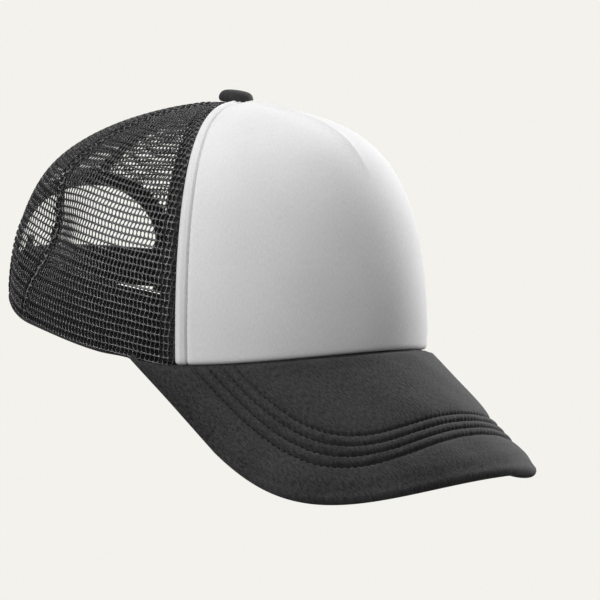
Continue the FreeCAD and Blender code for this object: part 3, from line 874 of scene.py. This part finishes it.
def brim_edge(columns):
    """Brim edge at mid thickness from rim to rim, its inward direction, and the rim angle it runs from."""
    sweep = np.linspace(-BRIM_REACH, BRIM_REACH, 1200)
    front = np.stack(brim_outline(sweep, (-EDGE_SWELL,) * 2), -1)
    foot = oval(np.array([-1.0, 1.0]) * (BRIM_END_ANGLE + END_SWELL), -ROOT_OUTSIDE)
    feet = np.stack(brim_coordinates(foot[:, 0], foot[:, 1]), -1)
    share = np.linspace(0, 1, 120)[:-1, None]
    path = np.concatenate([feet[0] + (front[0] - feet[0]) * share, front,
                           feet[1] + (front[-1] - feet[1]) * share[::-1]])
    travel = travelled(path)
    places = np.linspace(0, travel[-1], columns)
    edge = np.stack([np.interp(places, travel, path[:, k]) for k in (0, 1)], -1)
    ahead = unit(np.gradient(edge, axis=0))
    inward = np.stack([-ahead[:, 1], ahead[:, 0]], -1)
    from_middle = places - travel[-1] / 2
    end_side = np.linalg.norm(front[0] - feet[0])
    stations = np.array([0.0, travel[-1] / 2 - end_side, travel[-1] / 2])
    angles = (0.0, END_TUCK_START, BRIM_END_ANGLE + END_SWELL)
    return edge, inward, np.sign(from_middle) * np.interp(np.abs(from_middle), stations, angles)


def brim_grid(side, depth, columns=521, rows=150, turn_rows=9):
    """Grid of the brim's top (1) or under (-1) face with its rounded edge, at a depth inside it."""
    edge, inward, root_angle = brim_edge(columns)
    root = oval(root_angle, -ROOT_OUTSIDE)
    near = np.stack(brim_coordinates(root[:, 0], root[:, 1]), -1)
    past_front = (np.abs(root_angle) - END_TUCK_START) / (BRIM_END_ANGLE - END_TUCK_START)
    tuck = rim_height(root_angle) - on_arch(root_angle) + END_TUCK * smooth(past_front)
    radius = EDGE_RADIUS - depth
    lines, uv = [], []

    def add(spot, lift):
        climb = 1 - smooth(np.linalg.norm(spot - near, axis=-1) / 20)
        lines.append(brim_point(spot[:, 0], spot[:, 1], lift + tuck * climb))
        uv.append(spot)

    for v in np.interp(np.linspace(0, 1, rows), *FINE_ROWS):
        spot = near + (edge + inward * EDGE_RADIUS - near) * v
        from_edge = np.linalg.norm(edge - spot, axis=-1) - EDGE_RADIUS
        from_root = np.linalg.norm(near - spot, axis=-1)
        puff = brim_relief(spot[:, 0], spot[:, 1]) * smooth(from_edge / 7) * smooth(from_root / 3)
        face = 0.0 if side > 0 else -BRIM_THICKNESS
        add(spot, face + side * (puff * (1 if side > 0 else UNDERSIDE_PUFF) - depth))
    for t in np.radians(np.linspace(0, 90, turn_rows + 1)[1:]):
        spot = edge + inward * (EDGE_RADIUS - radius * math.sin(t))
        add(spot, -EDGE_RADIUS + side * radius * math.cos(t))
    return np.stack(lines), (np.stack(uv)[..., ::-1] * MM).reshape(-1, 2)


def brim_row_path(index, side):
    """Points in the bottom of a stitch groove, and the outward direction there."""
    sweep = np.linspace(-87, 87, 500)
    along, across = brim_outline(sweep, row_inset(index), (STITCH_POWER,) * 2)
    face = 0.0 if side > 0 else -BRIM_THICKNESS
    lift = face - side * GROOVE * (0.85 if side > 0 else 0.35)
    points = brim_point(along, across, lift)
    outward = unit(brim_point(along, across, lift + side) - points)
    clear = np.hypot(points[:, 0] / HALF_WIDTH, points[:, 1] / HALF_LENGTH) > 1.012
    return points[clear], outward[clear]


def build_brim(look):
    for side, name, node_names in ((1, "top", ["brim_top_cover", "brim_foam", "brim_board"]),
                                   (-1, "under", ["brim_under_cover"])):
        outer, uv = brim_grid(side, 0.0)
        inner, _ = brim_grid(side, COVER_THICKNESS)
        cover = make_piece("brim_%s_quilted" % name, slab(outer, inner, side > 0), look,
                           "brim_cloth", node_names, uv=uv)
    for index in range(STITCH_ROWS):
        rows = [stitches(*brim_row_path(index, side), BRIM_STITCH, *BRIM_THREAD) for side in (1, -1)]
        make_piece("brim_stitches_%d" % (index + 1), join(rows), look, "black_thread",
                   ["brim_stitch_row_%d" % (index + 1)])


# ---- Button ----

def build_button(look):
    """Fabric drawn over a pressed cap: a flat dome, its edge gathered into small pleats."""
    centre = np.array([0.0, APEX_SETBACK, CROWN_HEIGHT])
    turns = np.linspace(0, 2 * math.pi, 97)
    profile = [(5.2, -0.6), (6.6, -0.5), (7.3, 0.1), (7.6, 1.0), (7.55, 1.9), (7.3, 2.8), (6.8, 3.6),
               (6.1, 4.2), (5.2, 4.6), (4.0, 4.85), (2.8, 5.0), (1.5, 5.08), (0.02, 5.1)]
    lines = []
    for radius, height in profile:
        gather = 0.12 * smooth((3.6 - height) / 3) * np.sin(turns * 22) + 0.05 * np.sin(turns * 5 + 1)
        wide = radius + gather * (radius > 1)
        ring = np.stack([wide * np.cos(turns), wide * np.sin(turns), np.full(len(turns), height)], -1)
        lines.append(ring + centre)
    grid = np.stack(lines)
    shape = (grid.reshape(-1, 3), grid_faces(len(profile), len(turns)))
    button = make_piece("button_cloth", shape, look, "brim_cloth", ["button_cover"])
    refine = button.modifiers.new("round", "SUBSURF")
    refine.levels = refine.render_levels = 2


# ---- Tapes, bindings and sweatband ----

TAPE_THICKNESS = 0.5
TAPE_UNDER_NET = 1.0
TAPE_UNDER_FOAM = 3.6
TAPE_RISES = (0.5, 84.0)
DART_RISES = (48.0, 82.0)
SEAM_STITCH = (2.9, 2.3, 0.24, 0.0, 0.08)


def strip_grid(low, high, rises, depth, rows=120, columns=7):
    """Grid between two plan angles given as functions of the rise."""
    rise = np.linspace(*rises, rows)[:, None] * np.ones(columns)
    share = np.linspace(0, 1, columns)
    angle = low(rise) + (high(rise) - low(rise)) * share
    points = crown_point(angle, rise, depth + seam_sink(angle, rise) * 0.6)
    _, per_degree = crown_axes(angle, rise)
    return points, cloth_map(angle * per_degree, CLIMB.distance(angle, rise))


def beside(centre, offset):
    """A line a distance beside a seam, as a function of the rise."""
    def line(rise):
        middle = centre(rise)
        _, per_degree = crown_axes(middle, rise)
        return middle + offset / per_degree
    return line


def seam_tape(name, replaced, centre, offsets, rises, depth, look):
    low, high = sorted(offsets)
    top, uv = strip_grid(beside(centre, low), beside(centre, high), rises, depth)
    under, _ = strip_grid(beside(centre, low), beside(centre, high), rises, depth + TAPE_THICKNESS)
    return make_piece(name, slab(top, under), look, "black_tape", [replaced], uv=uv)


def seam_stitches(name, tape, centre, offsets, rises, look):
    """Rows of black stitches on the outside of the net, beside a seam."""
    rows = []
    rise = np.linspace(*rises, 240)
    for offset in offsets:
        angle = beside(centre, offset)(rise)
        outward, _ = crown_axes(angle, rise)
        rows.append(stitches(crown_point(angle, rise, -0.12), outward, *SEAM_STITCH))
    piece = make_piece(name, join(rows), look, "black_thread", body=None)
    piece.parent = tape


def build_tapes(look):
    for side, name in SIDES:
        front, middle = seam_line(side, FRONT_SEAM), seam_line(side, SIDE_SEAM)
        tape = seam_tape("front_tape_" + name, "front_seam_tape_" + name, front, (side * 0.3, side * 6.6),
                         TAPE_RISES, TAPE_UNDER_NET, look)
        seam_stitches("front_tape_stitches_" + name, tape, front, (side * 1.0, side * 5.6), (1.0, 80.0),
                      look)
        tape = seam_tape("side_tape_" + name, "side_seam_tape_" + name, middle, (-3.3, 3.3), TAPE_RISES,
                         TAPE_UNDER_NET, look)
        seam_stitches("side_tape_stitches_" + name, tape, middle, (-2.6, 2.6), (1.0, 82.0), look)
    above_arch = float(CLIMB.rise(180.0, 62.0))
    back = level_line(180.0)
    tape = seam_tape("centre_back_tape", "centre_back_seam_tape", back, (-3.6, 3.6),
                     (above_arch, TAPE_RISES[1]), TAPE_UNDER_NET, look)
    seam_stitches("centre_back_stitches", tape, back, (-2.8, 2.8), (above_arch + 2, 82.0), look)
    seam_tape("dart_tape", "dart_seam_tape", level_line(0.0), (-5.0, 5.0), DART_RISES, TAPE_UNDER_FOAM, look)


def band_grid(reach, height, depth, columns=301, rows=25, puff=0.0):
    """Grid of a band inside the crown that stands on the rim."""
    angle = np.linspace(-reach, reach, columns) * np.ones((rows, 1))
    share = np.linspace(0, 1, rows)[:, None] * np.ones(columns)
    top = rise_above_rim(angle[0], height)
    rise = share * top
    swell = puff * np.sin(math.pi * share) ** 0.5
    points = crown_point(angle, rise, depth(angle) + swell)
    return points, cloth_map(np.radians(angle) * 90.0, share * height)


def rise_above_rim(angle, height):
    """Rise at which the crown is a height above its rim."""
    target = rim_height(angle) + height
    return bisected(lambda rise: crown_surface(angle, rise)[..., 2] < target, 0.0, 80.0, np.shape(angle))


BAND_REACH = END_ANGLE - 1.5
SWEATBAND_HEIGHT = 27.8
BACKING_THICKNESS = 1.4
TERRY_DEPTHS = (1.55, 1.9)
TERRY_PUFF = 0.9
SWEATBAND_DEPTH = [(0, 3.6), (66, 3.6), (82, 2.6), (118, 2.6), (140, 5.0), (180, 5.0)]
BINDING_OUTSIDE = [(0, 0.1), (62, 0.1), (74, 3.0), (78, 3.0), (84, 0.0), (101, 0.8), (180, 0.8)]


def build_sweatband(look):
    """Foam backing and the padded terry in front of it."""
    def sheet(extra, puff=0.0):
        return band_grid(BAND_REACH, SWEATBAND_HEIGHT, lambda a: eased(SWEATBAND_DEPTH, a) + extra,
                         puff=puff)

    (back, uv), (front, _) = sheet(0.0), sheet(BACKING_THICKNESS)
    make_piece("sweatband_backing", slab(back, front), look, "band_foam", ["sweatband_foam"])
    (outer, _), (inner, _) = sheet(TERRY_DEPTHS[0]), sheet(TERRY_DEPTHS[1], TERRY_PUFF)
    band = make_piece("sweatband_terry", slab(outer, inner), look, "sweatband_cloth", ["sweatband_cloth"],
                      uv=uv)


def build_rim_binding(look):
    """Folded tape under the rim."""
    angle = np.linspace(-BAND_REACH, BAND_REACH, 401)
    outside = eased(BINDING_OUTSIDE, angle)
    inside = eased(SWEATBAND_DEPTH, angle) + 2.3
    section = [(0.0, 0.1), (0.02, -0.3), (0.08, -0.9), (0.3, -1.2), (0.7, -1.2), (0.95, -0.9), (1.0, -0.1),
               (1.0, 0.1)]
    depths = [outside + (inside - outside) * across for across, _ in section]
    grid = np.stack([oval(angle, depth, rim_height(angle) + lift - 0.1)
                     for depth, (_, lift) in zip(depths, section)])
    roof = np.stack([oval(angle, depth, rim_height(angle) - 0.05) for depth in depths])
    make_piece("rim_tape", slab(grid, roof, True), look, "black_tape", ["rim_binding"],
               uv=cloth_map(np.radians(angle) * 90.0, np.linspace(0, 6, len(section))[:, None]))


def opening_outline(turn, margin=0.0):
    """Point (x, z) of the rear opening's outline seen from behind, from the right foot to the left."""
    post = 0.3
    width = OPENING_HALF_WIDTH + margin
    climb = (1 - np.abs(turn)) / post
    t = math.radians(90) * turn / (1 - post)
    rise = OPENING_HEIGHT - OPENING_SPRING_HEIGHT + margin
    upright = np.abs(turn) > 1 - post
    x = np.where(upright, np.sign(turn) * width, width * np.sin(t))
    z = np.where(upright, OPENING_SPRING_HEIGHT * climb, OPENING_SPRING_HEIGHT + rise * np.cos(t))
    return x, z


def crown_behind(x, z, depth):
    """Point of the crown's back at a sideways position and a height."""
    angle = 180 - np.degrees(np.arcsin(np.clip(x / HALF_WIDTH, -1, 1)))
    for _ in range(12):
        rise = bisected(lambda trial: crown_surface(angle, trial)[..., 2] < z, 0.0, 80.0, x.shape, 22)
        angle = angle + np.degrees((crown_surface(angle, rise)[..., 0] - x) / HALF_WIDTH)
    return crown_point(angle, rise, depth)


ARCH_SEAM_MARGIN = 4.6
ARCH_STITCH = (3.0, 2.3, 0.2)


def build_arch_binding(look):
    """Tape folded over the edge of the rear opening, as one soft fold, with its row of stitches."""
    turn = np.linspace(-0.985, 0.985, 181)
    section = [(6.0, -0.15), (4.0, -0.45), (1.8, -0.5), (0.2, -0.45), (-0.45, -0.1), (-0.6, 0.5),
               (-0.45, 1.0), (0.2, 1.35), (1.8, 1.4), (4.0, 1.4), (6.0, 1.1)]
    grid = np.stack([crown_behind(*opening_outline(turn, margin), depth) for margin, depth in section])
    inner = np.stack([crown_behind(*opening_outline(turn, max(margin + 0.3, 0.0)), 0.45)
                      for margin, _ in section])
    tape = make_piece("arch_tape", slab(grid, inner), look, "black_tape", ["arch_binding"],
                      uv=cloth_map(turn * 90.0, np.linspace(0, 14, len(section))[:, None]), crease=80)
    path_turn = np.linspace(-0.96, 0.96, 200)
    x, z = opening_outline(path_turn, ARCH_SEAM_MARGIN)
    path = crown_behind(x, z, -0.55)
    outward = unit(path - crown_behind(x, z, 1.0))
    seam = make_piece("arch_stitches", stitches(path, outward, *ARCH_STITCH), look, "black_thread")
    seam.parent = tape


# ---- Snap strap and care label ----

STRAP_LOW = 1.0
STRAP_HEIGHT = 18.2
STRAP_THICKNESS = 1.4
STRAP_DEPTH = 3.0
STRAP_GAP = 0.4
STRAP_DIP = 7.5
STRAP_REACH = math.radians(180 - END_ANGLE) * HALF_WIDTH - 2.0
STRAP_OVERHANG = 37.0
STRAP_TAB = 14.0
STRAP_CORNER = 6.0
SNAPS = 7
SNAP_MIDDLE = (SNAPS - 1) / 2
SNAP_PITCH = 10.0
HOLE_RADIUS = 2.4
PEG_PROUD = 0.5
TACK_DISTANCES = (9.2, 13.2)
TACK_HEIGHTS = (2.0, 17.0)
TACK_STITCH = (0.55, 2.0, 0.22, 0.0, 7.0)


def strap_point(distance, height, depth):
    """Point of the strap at a distance round the rim from the centre back, positive to the left."""
    return oval(180 - np.degrees(distance / HALF_WIDTH), depth, height)


def strap_depth(side, distance):
    """Depth of a strap's outside face; the peg strap dips in under the socket strap."""
    dip = smooth((distance + STRAP_REACH) / STRAP_DIP) if side < 0 else 0 * distance
    return STRAP_DEPTH + (STRAP_THICKNESS + STRAP_GAP) * dip


def thickened(front, back, faces):
    """Closed body from a sheet's front and back points and its front faces, walled round every border."""
    count = len(front)
    edges = np.stack([faces, np.roll(faces, -1, axis=1)], -1).reshape(-1, 2)
    keys = {tuple(edge) for edge in edges.tolist()}
    border = np.array([edge for edge in keys if edge[::-1] not in keys])
    walls = np.stack([border[:, 1], border[:, 0], border[:, 0] + count, border[:, 1] + count], 1)
    return np.concatenate([front, back]), np.concatenate([faces, faces[:, ::-1] + count, walls])


def strap_body(side, holes):
    """Moulded strap from its sewn end to its rounded tip, with raised lips and round snap holes."""
    start, end = side * (STRAP_REACH + STRAP_TAB), -side * STRAP_OVERHANG
    columns, rows = 241, 45
    distance = np.linspace(start, end, columns) * np.ones((rows, 1))
    from_tip = np.abs(distance - end)
    into_corner = np.maximum(STRAP_CORNER - from_tip, 0)
    corner = STRAP_CORNER - np.sqrt(np.maximum(STRAP_CORNER ** 2 - into_corner ** 2, 0))
    half = STRAP_HEIGHT / 2 - corner
    share = np.linspace(-1, 1, rows)[:, None]
    height = half * share
    for middle in holes:
        away = np.hypot(distance - middle, height)
        snap = np.abs(away - HOLE_RADIUS) < 0.3
        pull = np.where(snap, HOLE_RADIUS / np.maximum(away, 0.1), 1.0)
        distance = middle + (distance - middle) * pull
        height = height * pull
    from_edge = np.minimum(half - np.abs(height), np.abs(distance - end))
    soften = rolled(from_edge, 0.5)
    lip = 0.35 * np.exp(-((from_edge - 1.1) / 0.55) ** 4) * smooth((STRAP_REACH - side * distance) / 6)
    for middle in holes:
        lip = lip + 0.3 * np.exp(-((np.hypot(distance - middle, height) - HOLE_RADIUS - 0.45) / 0.45) ** 4)
    skin = strap_depth(side, distance)
    level = STRAP_LOW + STRAP_HEIGHT / 2 + height
    front = strap_point(distance, level, skin - lip + soften).reshape(-1, 3)
    back = strap_point(distance, level, skin + STRAP_THICKNESS - soften).reshape(-1, 3)
    faces = grid_faces(rows, columns, side > 0)
    centre_s = distance.ravel()[faces].mean(1)
    centre_z = height.ravel()[faces].mean(1)
    open_hole = np.zeros(len(faces), bool)
    for middle in holes:
        open_hole |= np.hypot(centre_s - middle, centre_z) < HOLE_RADIUS - 0.05
    return thickened(front, back, faces[~open_hole])


def snap_peg(distance):
    """Mushroom-headed stud on the peg strap."""
    root = float(strap_depth(-1, np.array(distance))) + 0.3
    profile = [(2.0, root), (1.75, root - 0.5), (1.7, STRAP_DEPTH + 0.6), (2.1, STRAP_DEPTH + 0.2),
               (2.15, STRAP_DEPTH - 0.1), (1.9, STRAP_DEPTH - 0.38), (1.2, STRAP_DEPTH - PEG_PROUD),
               (0.01, STRAP_DEPTH - PEG_PROUD - 0.05)]
    turns = np.linspace(0, 2 * math.pi, 33)
    lines = []
    for radius, depth in profile:
        along = distance + radius * np.cos(turns)
        level = STRAP_LOW + STRAP_HEIGHT / 2 + radius * np.sin(turns)
        lines.append(strap_point(along, level, depth))
    return np.stack(lines).reshape(-1, 3), grid_faces(len(profile), len(turns), True)


def build_straps(look):
    for side, name in ((1, "socket"), (-1, "peg")):
        places = [side * (i - SNAP_MIDDLE) * SNAP_PITCH for i in range(SNAPS)]
        parts = [strap_body(side, places if side > 0 else [])]
        if side < 0:
            parts += [snap_peg(place) for place in places]
        strap = make_piece(name + "_strap_moulded", join(parts), look, "strap_plastic",
                           [name + "_strap_tab", name + "_strap_tongue"], body=None, crease=40)
        level = STRAP_LOW + STRAP_HEIGHT / 2
        root, free = (strap_point(np.array(side * (STRAP_REACH + bend)), level, STRAP_DEPTH + 0.7) * MM
                      for bend in (1.5, -3.5))
        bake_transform(strap)


def build_bar_tacks(look):
    """Two short rows of close stitches that hold each strap's end."""
    for side, name in SIDES:
        rows = []
        for distance in TACK_DISTANCES:
            angle = side * (END_ANGLE - math.degrees(distance / HALF_WIDTH))
            low, high = (float(rise_above_rim(np.array(angle), height)) for height in TACK_HEIGHTS)
            rise = np.linspace(low, high, 40)
            outward, _ = crown_axes(angle, rise)
            rows.append(stitches(crown_point(angle, rise, -0.1), outward, *TACK_STITCH))
        make_piece("strap_tack_stitches_" + name, join(rows), look, "black_thread",
                   ["strap_bar_tacks_" + name])


LABEL_ANGLES = (-144.0, -136.0)
LABEL_HEIGHTS = (2.5, 23.5)
LABEL_THICKNESS = 0.18


def build_label(look):
    """Blank ribbon label, sewn at its top edge and curling a little away from the sweatband below."""
    columns, rows = 15, 25
    angle = np.linspace(*LABEL_ANGLES, columns) * np.ones((rows, 1))
    share = np.linspace(0, 1, rows)[:, None] * np.ones(columns)
    low, high = (rise_above_rim(angle[0], height) for height in LABEL_HEIGHTS)
    rise = low + (high - low) * share
    across = np.linspace(-1, 1, columns)
    curl = 0.9 * (1 - share) ** 1.5 * (0.6 + 0.4 * across ** 2)
    depth = eased(SWEATBAND_DEPTH, angle) + 3.0 + curl
    outer, inner = (crown_point(angle, rise, depth + skin) for skin in (0.0, LABEL_THICKNESS))
    _, per_degree = crown_axes(angle, rise)
    label = make_piece("blank_label", slab(outer, inner), look, "label_satin", ["care_label"],
                       uv=cloth_map(angle * per_degree, share * (LABEL_HEIGHTS[1] - LABEL_HEIGHTS[0])))


# ---- Light, floor and camera ----

BACKGROUND = (0.896, 0.888, 0.847)
FELT_LIGHT = 0.19
FLOOR_HALF = 6.0
FLOOR_LEVEL = -1.6
CAMERA_AZIMUTH = 49.24
CAMERA_ELEVATION = 5.78
CAMERA_ROLL = 7.06
CAMERA_TARGET = Vector((0.0, 0.0, 0.050))
CAMERA_DISTANCE = 0.995
CAMERA_LENS = 135.2
AIM_OFFSET = (0.0323, -0.0391)


def place_camera():
    """Camera in front of the cap's right side, a little above it and rolled; gives its right and forward."""
    a, e, roll = (math.radians(x) for x in (CAMERA_AZIMUTH, CAMERA_ELEVATION, CAMERA_ROLL))
    back = Vector((-math.sin(a) * math.cos(e), -math.cos(a) * math.cos(e), math.sin(e)))
    level = Vector((math.cos(a), -math.sin(a), 0))
    upright = back.cross(level)
    right = level * math.cos(roll) + upright * math.sin(roll)
    up = upright * math.cos(roll) - level * math.sin(roll)
    location = CAMERA_TARGET + back * CAMERA_DISTANCE
    forward = (-back + right * AIM_OFFSET[0] + up * AIM_OFFSET[1]).normalized()
    right = (right - forward * right.dot(forward)).normalized()
    up = right.cross(forward)
    data = bpy.data.cameras.new("camera")
    data.lens = CAMERA_LENS
    data.sensor_width = 36
    camera = bpy.data.objects.new("camera", data)
    turn = Matrix((right, up, -forward)).transposed()
    camera.matrix_world = Matrix.Translation(location) @ turn.to_4x4()
    bpy.context.scene.collection.objects.link(camera)
    bpy.context.scene.camera = camera
    return right, forward


def area_light(name, place, target, size, power):
    data = bpy.data.lights.new(name, "AREA")
    data.shape = "RECTANGLE"
    data.size, data.size_y = size
    data.energy = power
    light = bpy.data.objects.new(name, data)
    light.location = place
    light.rotation_mode = "QUATERNION"
    light.rotation_quaternion = (Vector(target) - Vector(place)).to_track_quat("-Z", "Y")
    bpy.context.scene.collection.objects.link(light)


def backdrop_material():
    material = bpy.data.materials.new("backdrop")
    material.use_nodes = True
    tree = material.node_tree
    tree.nodes.clear()
    glow = node(tree, "Emission", None, Color=(*BACKGROUND, 1), Strength=1.0)
    output = node(tree, "OutputMaterial")
    tree.links.new(glow.outputs[0], output.inputs["Surface"])
    return material


def build_studio(right, forward):
    """Even pale studio: a floor far below, the same pale wall of light all round, and softboxes."""
    scene = bpy.context.scene
    scene.view_settings.view_transform = "Standard"
    scene.view_settings.look = "None"
    world = bpy.data.worlds.new("studio")
    scene.world = world
    world.use_nodes = True
    tree = world.node_tree
    tree.nodes.clear()
    seen = node(tree, "Background", None, Color=(*BACKGROUND, 1), Strength=1.0)
    felt = node(tree, "Background", None, Color=(1.0, 1.0, 1.0, 1), Strength=FELT_LIGHT)
    rays = node(tree, "LightPath")
    mix = node(tree, "MixShader", None, i0=rays.outputs["Is Camera Ray"], i1=felt.outputs[0],
               i2=seen.outputs[0])
    output = node(tree, "OutputWorld")
    tree.links.new(mix.outputs[0], output.inputs["Surface"])

    mesh = bpy.data.meshes.new("floor")
    corners = ((-1, -1), (1, -1), (1, 1), (-1, 1))
    mesh.from_pydata([(x * FLOOR_HALF, y * FLOOR_HALF, FLOOR_LEVEL) for x, y in corners], [], [(0, 1, 2, 3)])
    mesh.materials.append(backdrop_material())
    floor = bpy.data.objects.new("floor", mesh)
    floor.visible_diffuse = False
    floor.visible_glossy = False
    floor.visible_shadow = False
    scene.collection.objects.link(floor)

    middle = Vector((0, -0.02, 0.04))
    above = Vector((0, 0, 1))
    area_light("overhead", middle + above * 1.1 + forward * 0.15, middle, (0.9, 0.9), 8.2)
    area_light("brim_side", middle + Vector((1.05, -0.1, 0.25)), middle, (0.35, 0.9), 14.0)
    area_light("net_side", middle + Vector((-1.05, -0.35, 0.35)), middle, (0.35, 0.35), 2.2)
    area_light("net_back", middle + Vector((-0.9, 0.55, 0.35)), middle, (0.25, 0.25), 4.0)
    area_light("front_fill", middle - forward * 1.1 - right * 0.75 + above * 0.3, middle, (0.7, 0.7), 3.4)


# ---- CAD parts that stay ----

def finish_cad_parts(frame, look):
    """Each CAD node that still shows gets its slot's material."""
    slots = {part["node"]: part["material_slot"] for part in frame["record"]["subparts"]}
    for name, part in frame["nodes"].items():
        part.data.materials.clear()
        part.data.materials.append(look[slots[name]])


def main():
    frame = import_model()
    look = make_materials()
    finish_cad_parts(frame, look)
    build_net(look)
    build_front(look)
    build_brim(look)
    build_button(look)
    build_tapes(look)
    build_sweatband(look)
    build_rim_binding(look)
    build_arch_binding(look)
    build_straps(look)
    build_bar_tacks(look)
    build_label(look)
    build_studio(*place_camera())


main()
